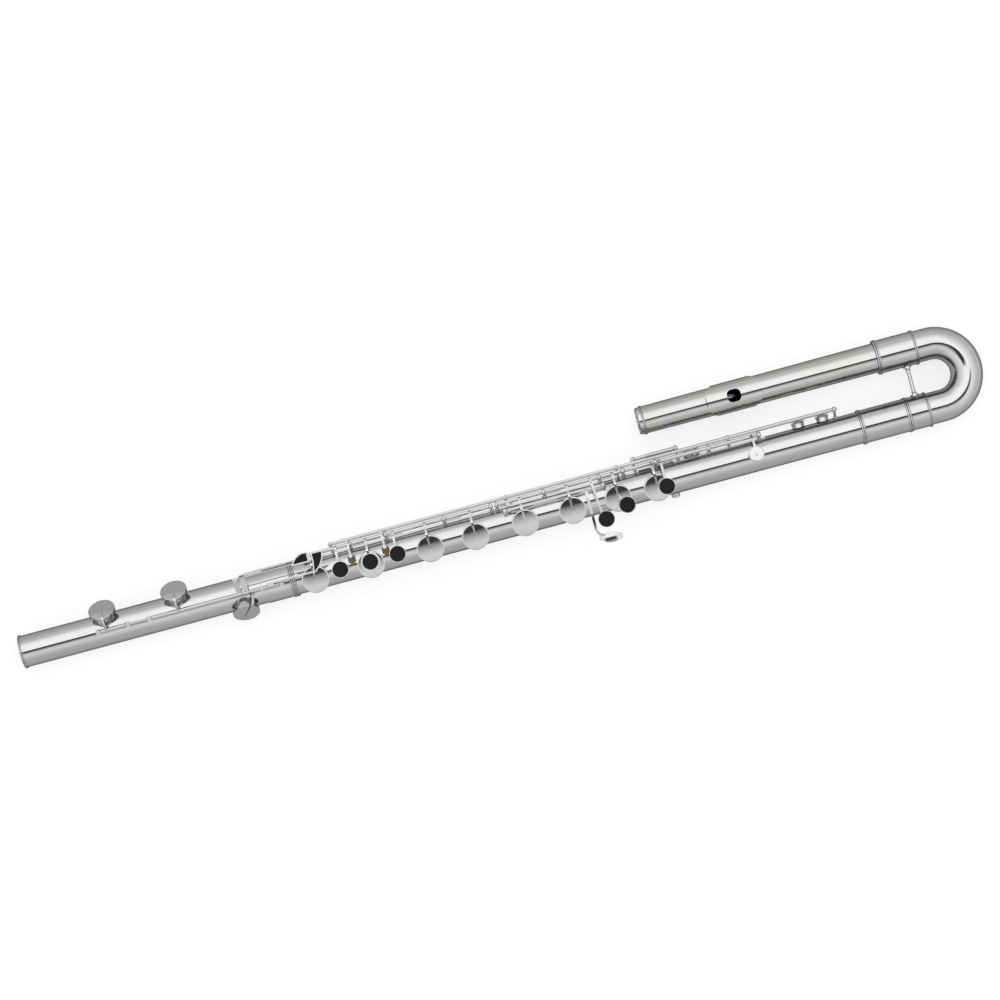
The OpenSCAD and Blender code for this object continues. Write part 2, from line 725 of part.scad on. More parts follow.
module stopper_screw() {
    r = head_r0 - tube_wall - 0.6;
    line = [head_y, 0];
    color(STEEL) {
        bar_x(stopper_face - plate_disc, stopper_face, r, line);
        bar_x(stopper_face - 2 * plate_disc - cork_len, stopper_face - plate_disc - cork_len, r, line);
        bar_x(crown_x - crown_len + 3, stopper_face - plate_disc / 2, 2.1, line);
    }
}

module crutch_socket() {
    r = crutch_r + crutch_wall;
    top = body_r + crutch_depth + 0.4;
    color(SILVER) difference() {
        round_tube(mid_x + crutch_at, crutch_turn) {
            cylinder(r = r, h = top);
            cylinder(r = r + 1.6, h = body_r + 0.3);
        }
        bar_x(mid_x + crutch_at - big, mid_x + crutch_at + big, body_r);
        round_tube(mid_x + crutch_at, crutch_turn)
            translate([0, 0, top - crutch_depth]) cylinder(r = crutch_r, h = big);
    }
}

// Cork bumpers that stop the two trill touches
trill_touch_z = 24.4;
module bumper_corks() {
    h = 2.2;
    color(CORK) for (x = [mid_x + 62.6, mid_x + 97.6]) difference() {
        translate([x, 3.6, body_r - 4]) linear_extrude(h + 4)
            polygon([[-3.6, 4.4], [3.6, 4.4], [3.8, -1.6], [0, -5.2], [-3.8, -1.6]]);
        bar_x(x - big, x + big, body_r + slip_gap);
    }
}

// Low C key: a steel rod along the foot carries its cup's arm and the lever's bracket
lever_z = 29.5;
touch_z = 33.6;
low_c_bar_y = 17.9;
low_c_sharp_bar_y = 15;
c_touch_x = mid_x + 23.8;

// Bracket from the foot line up to a lever bar; sag takes it below its neighbour's bar
module bracket(x0, x1, bar_y, sag) {
    yz_plate((x0 + x1) / 2, x1 - x0, [[foot_line[0] - 1.2, foot_line[1] + 1], [foot_line[0] + 1.2, foot_line[1] + 0.4],
        [bar_y - 0.2, lever_z - 1.4 - sag], [bar_y + 0.8, lever_z - 0.6 - sag], [bar_y + 0.8, lever_z + 0.8],
        [bar_y - 0.7, lever_z + 0.8], [bar_y - 0.7, lever_z + 0.2 - sag]]);
}

module low_c_key() {
    bracket_x = low_c_bracket_at;
    color(SILVER) {
        difference() {
            union() {
                swing(foot_line, foot_open_turn)
                    closed_key(low_c_at, foot_turn, foot_line, cup_r, cup_base, cup_h, pad_seat, crown_h,
                        pad_r + slip_gap, hinge_r);
                bar_x(after(foot_posts_at[0]), before(foot_posts_at[1]), hinge_r, foot_line);
                bar_x(bracket_x[0], bracket_x[1], hinge_r, foot_line);
                bracket(bracket_x[0], bracket_x[1], low_c_bar_y, 3.8);
                bar_x(bracket_x[0], c_touch_x + 1, 0.8, [low_c_bar_y, lever_z]);
                translate([c_touch_x - 1, low_c_bar_y - 0.8, lever_z]) cube([2, 1.6, touch_z - lever_z + 1]);
                translate([c_touch_x - 1, 13.4, touch_z]) cube([2, 8.4, touch_t]);
            }
            bar_x(0, mid_x, rod_r - 0.01, foot_line);
        }
        bar_x(foot_posts_at[0] - post_w / 2 - 0.6, foot_posts_at[3] + post_w / 2 + 0.6, rod_r, foot_line);
    }
}

module foot_pad(x) {
    color(FELT) swing(foot_line, foot_open_turn) round_tube(x, foot_turn)
        translate([0, 0, rim_r + pad_gap]) cylinder(r = pad_r, h = pad_t);
}

module low_c_pad() foot_pad(low_c_at);
module low_c_sharp_pad() foot_pad(low_c_sharp_at);

// Plan of the C sharp touch: a straight edge to the front, a square end and a round back
module c_sharp_plan(grow) {
    x1 = mid_x + 21.2;
    y0 = 14.4;
    intersection() {
        translate([x1 - 16 - grow, y0 - grow]) square([16 + 2 * grow, 8 + 2 * grow]);
        translate([x1 - 1.5, y0 - 7.2]) circle(r = 15.4 + grow);
    }
}

module low_c_sharp_key() {
    bracket_x = low_c_sharp_bracket_at;
    x1 = bracket_x[1];
    color(SILVER) difference() {
        union() {
            swing(foot_line, foot_open_turn)
                closed_key(low_c_sharp_at, foot_turn, foot_line, cup_r, cup_base, cup_h, pad_seat, crown_h,
                    pad_r + slip_gap, hinge_r);
            bar_x(after(foot_posts_at[2]), x1, hinge_r, foot_line);
            bracket(bracket_x[0], x1, low_c_sharp_bar_y, 0);
            bar_x(bracket_x[0], mid_x + 9, 0.8, [low_c_sharp_bar_y, lever_z]);
            translate([mid_x + 5, low_c_sharp_bar_y - 0.8, lever_z]) cube([4, 1, touch_z - lever_z + 0.5]);
            translate([0, 0, touch_z]) linear_extrude(touch_t) c_sharp_plan(touch_rim);
        }
        bar_x(foot_posts_at[2], mid_x, bore_gap, foot_line);
        translate([0, 0, touch_z + touch_t - inlay_depth]) linear_extrude(touch_t) c_sharp_plan(0);
    }
}

module low_c_sharp_inlay() {
    color(BLACK) translate([0, 0, touch_z + touch_t - inlay_depth]) linear_extrude(inlay_depth + inlay_proud)
        c_sharp_plan(-slip_gap);
}

// Plan of the D sharp touch: a quarter-round wedge with its point towards the front
module d_sharp_plan(grow) {
    x = mid_x + 26.6;
    intersection() {
        translate([x - 12.6, 22.1]) circle(r = 22.3 + grow);
        polygon([[x - 2.4 - grow, -1], [x - grow, 12], [x - grow, 20 + grow], [x + 20, 20 + grow], [x + 20, -1]]);
    }
}

// D sharp key: its cup hangs on a slanting arm, and its lever runs along the foot to the touch
module d_sharp_key() {
    x0 = low_c_bracket_at[1] + end_gap;
    x1 = before(foot_posts_at[3]);
    slant = 32;
    hy = foot_line[0] * cos(d_sharp_turn) - foot_line[1] * sin(d_sharp_turn);
    hz = foot_line[0] * sin(d_sharp_turn) + foot_line[1] * cos(d_sharp_turn);
    color(SILVER) difference() {
        union() {
            round_tube(d_sharp_at, d_sharp_turn) {
                translate([0, 0, cup_base]) cup(cup_r, cup_h, pad_seat, crown_h, pad_r + slip_gap);
                rotate([0, 0, -slant])
                    cup_arm(hy / cos(slant) - 0.6, hz, cup_r, cup_top, crown_h, arm_tip, arm_w, hinge_r);
            }
            bar_x(x0, x1, hinge_r, foot_line);
            d_sharp_lever(x1);
            translate([0, 0, touch_z]) linear_extrude(touch_t) d_sharp_plan(touch_rim);
        }
        bar_x(x0 - cut, x1 + cut, bore_gap, foot_line);
        translate([0, 0, touch_z + touch_t - inlay_depth]) linear_extrude(touch_t) d_sharp_plan(0);
    }
}

// Slim lever from the D sharp hinge tube along the foot and up to its touch
module d_sharp_lever(x1) {
    y = foot_line[0] + 2.9;
    w = 1.8;
    low = foot_line[1] + 1;
    over_cup = mid_x + 5;
    hook = mid_x + 20.4;
    translate([0, y + w / 2, 0]) rotate([90, 0, 0]) linear_extrude(w) polygon([[x1 - 12, low - 1.6], [x1 - 4, low - 1],
        [x1, low + 3.2], [over_cup, touch_z - 2.8], [hook + 7, touch_z - 1.2], [hook + 7, touch_z + 0.6],
        [hook + 1, touch_z + 0.6], [over_cup, touch_z - 0.8], [x1 - 2, low + 5], [x1 - 12, low + 1.4]]);
    translate([x1 - 11, foot_line[0], low - 0.6]) cube([6, y - foot_line[0], 1.8]);
}

module d_sharp_pad() {
    color(FELT) round_tube(d_sharp_at, d_sharp_turn)
        translate([0, 0, rim_r + pad_gap]) cylinder(r = pad_r, h = pad_t);
}

module d_sharp_inlay() {
    color(BLACK) translate([0, 0, touch_z + touch_t - inlay_depth]) linear_extrude(inlay_depth + inlay_proud)
        d_sharp_plan(-slip_gap);
}

// Main row, from the foot up. Places along the tube:
d_x = mid_x + d_at;
e_x = mid_x + e_at;
f_x = mid_x + f_at;
f_sharp_x = mid_x + f_sharp_at;
g_sharp_x = mid_x + g_sharp_at;
g_x = mid_x + g_at;
a_x = mid_x + a_at;
b_flat_x = mid_x + b_flat_at;
small_x = mid_x + small_at;
finger_z = 26.6;
r3 = [mid_x + 49.6, -2.4];
r2 = [e_x, -2.6];
r1 = [mid_x + 108.4, -2.1];
l3 = [mid_x + 317.4, -22.2];
l2 = [mid_x + 340.9, -13.9];
l1 = [mid_x + 383.3, -6.4];
l3_z = finger_z - 0.9;
l2_z = 28.4;
r2_z = 28.9;
l1_z = 33.2;

// A key of the main row: cup at x on a hinge tube from x0 to x1; children are its touch
module main_key(x, x0, x1, turn, hole_turn = main_turn) {
    color(SILVER) difference() {
        union() {
            swing(main_line, turn) main_cup(x, hole_turn);
            main_tube(x0, x1);
            children();
        }
        main_bore(x0, x1);
    }
}

module d_key() {
    main_key(d_x, after(lower_posts_at[0]), before(lower_posts_at[1]), -open_turn) {
        touch_arm(r3[0], main_line, r3[1], finger_z + 0.4);
        touch_disc(r3[0], r3[1], finger_z);
    }
}

module e_key() {
    difference() {
        main_key(e_x, after(lower_posts_at[1]), before(lower_posts_at[2]), -open_turn) {
            touch_disc(r2[0], r2[1], r2_z);
            translate([r2[0], r2[1], r2_z - 1.2]) cylinder(r1 = touch_r + 0.6, r2 = touch_r + 1.2, h = 1.5);
        }
        translate([r2[0], r2[1], r2_z + touch_t - inlay_depth]) cylinder(r = touch_r - inlay_rim, h = big);
    }
}

module f_key() {
    main_key(f_x, after(lower_posts_at[2]), before(lower_posts_at[3]), -open_turn) {
        touch_arm(r1[0], main_line, r1[1], finger_z + 0.4);
        touch_disc(r1[0], r1[1], finger_z);
    }
}

module f_sharp_key() main_key(f_sharp_x, after(lower_posts_at[3]), before(lower_posts_at[4]), -open_turn);

// A point seen from the lever's hinge: t towards the main row's hinge, n square to that
function from_lever(t, n) = let (u = (main_line - lever_line) / norm(main_line - lever_line))
    lever_line + t * u + n * [-u[1], u[0]];

// The G sharp key is closed at rest; its lever lifts a short finger on its hinge tube
module g_sharp_key() {
    reach = norm(main_line - lever_line);
    main_key(g_sharp_x, after(upper_posts_at[0]), before(upper_posts_at[1]), 0, g_sharp_turn)
        yz_plate(mid_x + 226.5, 3, [for (p = [[reach, 1.2], [reach, -1], [reach - 2.8, 0.2], [4.4, 0.2],
            [4.6, 1.6], [reach - 2.2, 2]]) from_lever(p[0], p[1])]);
}

module g_sharp_lever() {
    x0 = after(lever_posts_at[0]);
    x1 = before(lever_posts_at[1]);
    arm_x = mid_x + 304.9;
    bend_y = -29;
    bend_out = 9.8;
    z = 23.4;
    z_low = z - 3;
    color(SILVER) difference() {
        union() {
            bar_x(x0, x1, thin_hinge_r, lever_line);
            yz_plate(arm_x, 2.6, concat(
                curve([lever_line[0] + 1.6, lever_line[1]], [lever_line[0] + 1.2, z + 0.4], [lever_line[0] - 8, z], 6),
                curve([-14, z], [-22, z], [bend_y, z_low + bar_t], 4),
                curve([bend_y, z_low], [-22, z - bar_t], [-14, z - bar_t], 4),
                curve([lever_line[0] - 8, z - bar_t], [lever_line[0] - 1.6, z - bar_t], [lever_line[0] - 1.6, lever_line[1]], 6)));
            translate([arm_x - 1.3 + bend_out, bend_y, z_low]) intersection() {
                difference() {
                    cylinder(r = bend_out, h = bar_t);
                    translate([0, 0, -cut]) cylinder(r = bend_out - 2.6, h = big);
                }
                translate([-big, 0.1 - big, 0]) cube([big, big, big]);
            }
            spoon(arm_x + 12.5, bend_y - 11.5, z_low - 0.3);
            yz_plate(mid_x + 226.5, 2.6, [for (p = [[0, 1.2], [2.2, 0.6], [3.8, -0.2], [5.5, -0.2], [5.3, -1.5],
                [0, -1.2]]) from_lever(p[0], p[1])]);
        }
        bar_x(x0 - cut, x1 + cut, bore_gap, lever_line);
    }
}

// Long oval spoon with a crowned top, where the little finger presses the lever
module spoon(x, y, z) {
    t = 2.9;
    crown = 32;
    translate([x, y, z]) rotate([0, 0, -8]) intersection() {
        linear_extrude(t) {
            intersection() {
                translate([0, 11.4]) circle(r = 17);
                translate([0, -11.4]) circle(r = 17);
                square([22, 12], center = true);
            }
            for (side = [-1, 1]) translate([side * 8.4, 0]) circle(r = 3.6);
        }
        translate([0, 0, t - crown]) sphere(r = crown, $fn = 160);
    }
}

module g_key() {
    x0 = after(upper_posts_at[1]);
    x1 = before(upper_posts_at[2]);
    arm_x = mid_x + 311.6;
    main_key(g_x, x0, x1, -open_turn) {
        touch_arm(arm_x, main_line, l3[1] + 3, finger_z, slant = 5);
        touch_disc(l3[0], l3[1], l3_z);
    }
}

module a_key() {
    x0 = after(upper_posts_at[2]);
    x1 = before(upper_posts_at[3]);
    turn = atan2(l2[1] + 2, l2[0] - a_x);
    main_key(a_x, x0, x1, -open_turn) {
        touch_disc(l2[0], l2[1], l2_z);
        translate([a_x, -2, finger_z + 0.6]) rotate([0, 0, turn]) translate([-1, -1.1, 0]) cube([9.5, 2.2, 2]);
    }
}

module b_flat_key() main_key(b_flat_x, after(upper_posts_at[3]), before(upper_posts_at[4]), -open_turn);

// C key: first finger's touch and the small C sharp cup on one long hinge tube
module c_key() {
    x0 = after(upper_posts_at[4]);
    x1 = before(upper_posts_at[5]);
    color(SILVER) difference() {
        union() {
            swing(main_line, -c_open_turn)
                closed_key(small_x, small_turn, main_line, small_cup_r, small_cup_base, small_cup_h, small_seat, small_crown_h,
                    small_cup_r - 0.75, hinge_r, 2.2, 2.5);
            main_tube(x0, x1);
            touch_arm(l1[0], main_line, l1[1], l1_z + 0.4);
            touch_disc(l1[0], l1[1], l1_z);
        }
        main_bore(x0, x1);
    }
}

module d_pad() color(FELT) main_pad(d_x, -open_turn);
module e_pad() color(FELT) main_pad(e_x, -open_turn);
module f_pad() color(FELT) main_pad(f_x, -open_turn);
module f_sharp_pad() color(FELT) main_pad(f_sharp_x, -open_turn);
module g_sharp_pad() color(FELT) main_pad(g_sharp_x, 0, g_sharp_turn);
module g_pad() color(FELT) main_pad(g_x, -open_turn);
module a_pad() color(FELT) main_pad(a_x, -open_turn);
module b_flat_pad() color(FELT) main_pad(b_flat_x, -open_turn);

module small_pad(x, turn, r) {
    color(FELT) round_tube(x, turn)
        translate([0, 0, small_rim_r + pad_gap]) cylinder(r = r - 0.8, h = small_pad_t);
}

module c_pad() swing(main_line, -c_open_turn) small_pad(small_x, small_turn, small_cup_r);
module d_inlay() round_inlay(r3[0], r3[1], finger_z);
module e_inlay() round_inlay(r2[0], r2[1], r2_z);
module f_inlay() round_inlay(r1[0], r1[1], finger_z);
module g_inlay() round_inlay(l3[0], l3[1], l3_z);
module a_inlay() round_inlay(l2[0], l2[1], l2_z);
module c_inlay() round_inlay(l1[0], l1[1], l1_z);

// Thumb plate that hangs from the thumb line behind the tube
module thumb_plate(x0, x1, z_low) {
    t = 1.4;
    yz_plate((x0 + x1) / 2, x1 - x0, [[thumb_line[0] - 1.6, thumb_line[1]], [thumb_line[0] + 0.2, thumb_line[1] - 1],
        [25.6, 0], [25.2, z_low], [25.2 - t, z_low], [25.6 - t - 0.4, 0]]);
}

module thumb_b_key() {
    x0 = mid_x + 375.4;
    x1 = before(thumb_posts_at[1]);
    color(SILVER) swing(thumb_line, thumb_open_turn) difference() {
        union() {
            bar_x(x0, x1, thin_hinge_r, thumb_line);
            thumb_plate(x0 + 1, x1 - 2, -10.5);
            round_tube(mid_x + thumb_at, thumb_turn) {
                translate([0, 0, small_cup_base])
                    cup(thumb_cup_r, small_cup_h, small_seat, small_crown_h, thumb_cup_r - 0.75);
                translate([-22, -1.2, small_cup_top - 1.1]) cube([24, 2.4, 3]);
            }
        }
        bar_x(x0 - cut, x1 + cut, bore_gap, thumb_line);
    }
}

module thumb_b_pad() {
    swing(thumb_line, thumb_open_turn) small_pad(mid_x + thumb_at, thumb_turn, thumb_cup_r);
}

module thumb_b_flat_lever() {
    x0 = after(thumb_posts_at[0]);
    x1 = mid_x + 375.4 - end_gap;
    color(SILVER) difference() {
        union() {
            bar_x(x0, x1, thin_hinge_r, thumb_line);
            thumb_plate(x0 + 1, x1 - 1, -9);
        }
        bar_x(x0 - cut, x1 + cut, bore_gap, thumb_line);
    }
}

// Trill key: its cup on the outer side of the tube and a small touch among the right hand's keys
module trill_cup(x) {
    closed_key(x, trill_turn, trill_line, trill_cup_r, small_cup_base, small_cup_h, small_seat, small_crown_h,
        trill_cup_r - 0.75, thin_hinge_r, 2, 2);
}

module trill_touch(x) {
    touch_arm(x, trill_line, 9, trill_touch_z, 2, thin_hinge_r);
    translate([x, 8, trill_touch_z - bar_t]) cylinder(r = 1.9, h = bar_t);
}

trill_tube = [mid_x + 73, trill_d_x + 8];

module trill_d_key() {
    color(SILVER) difference() {
        union() {
            bar_x(trill_tube[0], trill_tube[1], thin_hinge_r, trill_line);
            trill_touch(mid_x + 97.6);
            trill_cup(trill_d_x);
        }
        bar_x(trill_tube[0] - cut, trill_tube[1] + cut, bore_gap, trill_line);
    }
}

module trill_d_sharp_key() {
    touch_x = mid_x + 62.6;
    color(SILVER) {
        difference() {
            union() {
                bar_x(after(trill_posts_at[0]), trill_tube[0] - end_gap, thin_hinge_r, trill_line);
                bar_x(trill_tube[1] + end_gap, before(trill_posts_at[1]), thin_hinge_r, trill_line);
                trill_touch(touch_x);
                trill_cup(trill_d_sharp_x);
            }
            bar_x(trill_posts_at[0], trill_posts_at[1], rod_r - 0.01, trill_line);
        }
        bar_x(trill_posts_at[0] - post_w / 2 - 0.6, trill_posts_at[1] + post_w / 2 + 0.6, rod_r, trill_line);
    }
}

module trill_d_pad() small_pad(trill_d_x, trill_turn, trill_cup_r);
module trill_d_sharp_pad() small_pad(trill_d_sharp_x, trill_turn, trill_cup_r);

foot_tube();
foot_rings();
foot_posts();
body_tube();
body_posts();
steel_rods();
needle_springs();
barrel();
bend_tube();
lower_ferrule();
upper_sleeve();
brace();
head_tube();
riser();
lip_plate();
crown();
stopper_cork();
stopper_screw();
crutch_socket();
bumper_corks();
low_c_key();
low_c_pad();
low_c_sharp_key();
low_c_sharp_pad();
low_c_sharp_inlay();
d_sharp_key();
d_sharp_pad();
d_sharp_inlay();
d_key();
d_pad();
d_inlay();
e_key();
e_pad();
e_inlay();
f_key();
f_pad();
f_inlay();
f_sharp_key();
f_sharp_pad();
g_sharp_key();
g_sharp_pad();
g_sharp_lever();
g_key();
g_pad();
g_inlay();
a_key();
a_pad();
a_inlay();
b_flat_key();
b_flat_pad();
c_key();
c_pad();
c_inlay();
thumb_b_key();
thumb_b_pad();
thumb_b_flat_lever();
trill_d_key();
trill_d_pad();
trill_d_sharp_key();
trill_d_sharp_pad();
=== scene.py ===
import json
import math

import bpy
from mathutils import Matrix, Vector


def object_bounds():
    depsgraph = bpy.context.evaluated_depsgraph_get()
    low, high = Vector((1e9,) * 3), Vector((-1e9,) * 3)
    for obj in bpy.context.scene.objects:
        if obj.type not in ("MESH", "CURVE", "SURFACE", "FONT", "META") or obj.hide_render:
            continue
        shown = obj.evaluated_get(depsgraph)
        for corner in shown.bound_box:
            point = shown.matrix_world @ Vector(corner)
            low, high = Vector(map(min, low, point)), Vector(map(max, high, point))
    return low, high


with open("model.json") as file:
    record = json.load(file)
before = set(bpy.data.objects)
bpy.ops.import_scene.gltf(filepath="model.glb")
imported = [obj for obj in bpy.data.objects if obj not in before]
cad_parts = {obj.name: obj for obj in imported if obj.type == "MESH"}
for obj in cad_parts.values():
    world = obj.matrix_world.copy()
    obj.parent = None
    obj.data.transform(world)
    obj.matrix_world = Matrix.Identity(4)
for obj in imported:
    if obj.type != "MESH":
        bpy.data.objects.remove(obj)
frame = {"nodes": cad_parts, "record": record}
cad_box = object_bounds()

# ---------------------------------------------------------------- nodes


def fill(tree, target, inputs):
    """Set each named input of target, or link it where the value is a socket."""
    for key, value in inputs.items():
        if isinstance(value, bpy.types.NodeSocket):
            tree.links.new(value, target.inputs[key])
        else:
            target.inputs[key].default_value = value


def node(tree, kind, inputs=None, **attributes):
    made = tree.nodes.new(kind)
    for key, value in attributes.items():
        setattr(made, key, value)
    fill(tree, made, inputs or {})
    return made


def maths(tree, operation, *values):
    made = node(tree, "ShaderNodeMath", dict(enumerate(values)), operation=operation)
    return made.outputs["Value"]


def remap(tree, value, start, end, low=0.0, high=1.0):
    """Take value from start..end to low..high, held at both ends."""
    made = node(tree, "ShaderNodeMapRange", {"Value": value, "From Min": start, "From Max": end,
                                             "To Min": low, "To Max": high})
    return made.outputs["Result"]


def grey(value):
    return (value, value, value)


def ramp(tree, factor, stops):
    """Colour ramp through stops of (place, colour)."""
    made = tree.nodes.new("ShaderNodeValToRGB")
    tree.links.new(factor, made.inputs["Fac"])
    elements = made.color_ramp.elements
    for element, (place, colour) in ((elements[0], stops[0]), (elements[1], stops[-1])):
        element.position = place
        element.color = (*colour, 1.0)
    for place, colour in stops[1:-1]:
        elements.new(place).color = (*colour, 1.0)
    return made.outputs["Color"]


def mix(tree, factor, first, second):
    """Colour that goes from first to second as factor goes from 0 to 1."""
    made = tree.nodes.new("ShaderNodeMix")
    made.data_type = "RGBA"
    tree.links.new(factor, made.inputs[0])
    for socket, value in ((made.inputs[6], first), (made.inputs[7], second)):
        if isinstance(value, bpy.types.NodeSocket):
            tree.links.new(value, socket)
        else:
            socket.default_value = (*value, 1.0)
    return made.outputs[2]


def object_coords(tree, scale):
    """The piece's own coordinates in metres, times scale along each axis."""
    coords = node(tree, "ShaderNodeTexCoord")
    mapping = node(tree, "ShaderNodeMapping", {"Vector": coords.outputs["Object"], "Scale": scale})
    return mapping.outputs["Vector"]


def noise(tree, scale, detail, roughness=0.5):
    made = node(tree, "ShaderNodeTexNoise", {"Vector": object_coords(tree, scale), "Scale": 1.0,
                                             "Detail": detail, "Roughness": roughness})
    return made.outputs["Fac"]


def bump(tree, height, strength, distance):
    made = node(tree, "ShaderNodeBump", {"Height": height, "Strength": strength,
                                         "Distance": distance})
    return made.outputs["Normal"]


# ---------------------------------------------------------------- materials

# Painted shade: upward part of a surface's normal where the darker flank colour, painted shade for
# the dark sides of the metal, starts and where it is all that colour.
PAINTED_SHADE_STARTS = 0.78
PAINTED_SHADE_FULL = 0.70


def material(name):
    mat = bpy.data.materials.new(name)
    mat.use_nodes = True
    return mat, mat.node_tree, mat.node_tree.nodes["Principled BSDF"]


def silver(name, clean, warm, flank_shade, roughness, edge):
    """Polished silver plate: faint warm clouds, painted shade that darkens the flanks by their
    normal, and fine lines along the flute.

    roughness is its least and most, the flank colour is painted shade for the sides, and edge is
    the tint of the mirror seen at a grazing angle.
    """
    mat, tree, bsdf = material(name)
    clouds = noise(tree, (26, 40, 40), 5.0, 0.6)
    lines = noise(tree, (60, 900, 900), 3.0)
    tint = ramp(tree, clouds, [(0.42, clean), (0.78, warm)])
    normal = node(tree, "ShaderNodeTexCoord").outputs["Normal"]
    facing = node(tree, "ShaderNodeSeparateXYZ", {"Vector": normal})
    # Painted shade: the base colour darkens where the normal turns from up to sideways or down.
    painted_flank_shade = remap(tree, facing.outputs["Z"], PAINTED_SHADE_STARTS, PAINTED_SHADE_FULL)
    fill(tree, bsdf, {
        "Base Color": mix(tree, painted_flank_shade, tint, flank_shade),
        "Metallic": 1.0,
        "Roughness": remap(tree, lines, 0.3, 0.7, *roughness),
        "Specular Tint": (edge, edge, edge, 1.0),
        "Normal": bump(tree, lines, 0.015, 0.0002),
    })
    return mat


def steel(name):
    """Turned steel rod, with fine rings round it."""
    mat, tree, bsdf = material(name)
    rings = noise(tree, (2400, 200, 200), 2.0)
    fill(tree, bsdf, {
        "Base Color": ramp(tree, rings, [(0.3, (0.52, 0.53, 0.55)), (0.7, (0.66, 0.67, 0.69))]),
        "Metallic": 1.0,
        "Roughness": remap(tree, rings, 0.0, 1.0, 0.2, 0.36),
    })
    return mat


def touch_black(name):
    """Black insert of a touch, with a fine grain."""
    mat, tree, bsdf = material(name)
    grain = noise(tree, (900, 900, 900), 4.0)
    fill(tree, bsdf, {
        "Base Color": ramp(tree, grain, [(0.35, (0.004, 0.006, 0.007)),
                                         (0.7, (0.009, 0.012, 0.013))]),
        "Roughness": remap(tree, grain, 0.0, 1.0, 0.36, 0.52),
        "Specular IOR Level": 0.3,
        "Normal": bump(tree, grain, 0.08, 0.0002),
    })
    return mat


def pad_skin(name):
    """Felt pad under its thin skin."""
    mat, tree, bsdf = material(name)
    fibres = noise(tree, (700, 700, 700), 6.0, 0.7)
    fill(tree, bsdf, {
        "Base Color": ramp(tree, fibres, [(0.3, (0.66, 0.55, 0.36)), (0.7, (0.86, 0.79, 0.62))]),
        "Roughness": 0.7,
        "Sheen Weight": 0.3,
        "Normal": bump(tree, fibres, 0.25, 0.0003),
    })
    return mat


def cork(name):
    """Cork: small cells, with darker and lighter patches."""
    mat, tree, bsdf = material(name)
    cells = node(tree, "ShaderNodeTexVoronoi", {"Vector": object_coords(tree, (1100, 1100, 1100)),
                                                "Scale": 1.0})
    patches = noise(tree, (300, 300, 300), 4.0)
    mixed = maths(tree, "MULTIPLY", cells.outputs["Distance"], patches)
    fill(tree, bsdf, {
        "Base Color": ramp(tree, mixed, [(0.05, (0.10, 0.07, 0.04)), (0.3, (0.33, 0.25, 0.16)),
                                         (0.6, (0.45, 0.36, 0.25))]),
        "Roughness": 0.85,
        "Normal": bump(tree, mixed, 0.4, 0.0004),
    })
    return mat


TUBE_ROUGHNESS = (0.04, 0.09)
TUBE_EDGE = 0.25
KEY_ROUGHNESS = (0.05, 0.11)
KEY_EDGE = 0.7

# The third colour of each silver is the painted shade on its flanks.
MATERIALS = {
    "silver_tube": silver("silver_tube", (0.88, 0.88, 0.89), (0.84, 0.83, 0.81),
                          (0.33, 0.33, 0.35), TUBE_ROUGHNESS, TUBE_EDGE),
    "silver_head": silver("silver_head", (0.88, 0.87, 0.86), (0.82, 0.80, 0.75),
                          (0.32, 0.32, 0.30), TUBE_ROUGHNESS, TUBE_EDGE),
    "silver_keys": silver("silver_keys", (0.88, 0.88, 0.90), (0.84, 0.83, 0.82),
                          (0.72, 0.71, 0.68), KEY_ROUGHNESS, KEY_EDGE),
    # A copy of the keys' silver with deeper painted shade on its flanks.
    "silver_foot_keys_deep_shade": silver("silver_foot_keys_deep_shade", (0.86, 0.86, 0.87), (0.82, 0.81, 0.79),
                               (0.30, 0.30, 0.29), KEY_ROUGHNESS, KEY_EDGE),
    "steel": steel("steel"),
    "touch_black": touch_black("touch_black"),
    "pad_felt": pad_skin("pad_felt"),
    "cork": cork("cork"),
}

slot_of = {part["node"]: part["material_slot"] for part in frame["record"]["subparts"]}
# The foot keys take the copy of the keys' silver with deeper painted shade.
for name in ("low_c_key", "low_c_sharp_key", "d_sharp_key"):
    slot_of[name] = "silver_foot_keys_deep_shade"
for name, obj in frame["nodes"].items():
    for slot in obj.material_slots:
        slot.material = MATERIALS[slot_of[name]]

# ---------------------------------------------------------------- floor

FLOOR_Z = cad_box[0][2] - 0.0001
FLOOR_MIDDLE_X = 0.5
FLOOR_HALF = 20.0
FLOOR_GLOW = 0.7
FLOOR_GREY = 0.54


def floor_material():
    """White floor that keeps the flute's soft shadow.

    Its glow is there for the camera and for what the metal mirrors, but lights nothing.
    """
    mat, tree, bsdf = material("floor_white")
    tree.nodes.remove(bsdf)
    path = node(tree, "ShaderNodeLightPath").outputs
    seen = maths(tree, "MAXIMUM", path["Is Camera Ray"], path["Is Glossy Ray"])
    seen = maths(tree, "MAXIMUM", seen, path["Is Transmission Ray"])
    diffuse = node(tree, "ShaderNodeBsdfDiffuse", {"Color": (*grey(FLOOR_GREY), 1.0)})
    glow = node(tree, "ShaderNodeEmission", {"Color": (1, 1, 1, 1),
                                             "Strength": maths(tree, "MULTIPLY", seen, FLOOR_GLOW)})
    both = node(tree, "ShaderNodeAddShader", {0: diffuse.outputs["BSDF"],
                                              1: glow.outputs["Emission"]})
    fill(tree, tree.nodes["Material Output"], {"Surface": both.outputs["Shader"]})
    return mat


left, right = FLOOR_MIDDLE_X - FLOOR_HALF, FLOOR_MIDDLE_X + FLOOR_HALF
floor_mesh = bpy.data.meshes.new("floor")
floor_mesh.from_pydata([(left, -FLOOR_HALF, FLOOR_Z), (right, -FLOOR_HALF, FLOOR_Z),
                        (right, FLOOR_HALF, FLOOR_Z), (left, FLOOR_HALF, FLOOR_Z)],
                       [], [(0, 1, 2, 3)])
floor = bpy.data.objects.new("floor", floor_mesh)
bpy.context.scene.collection.objects.link(floor)
floor_mesh.materials.append(floor_material())

# ---------------------------------------------------------------- light

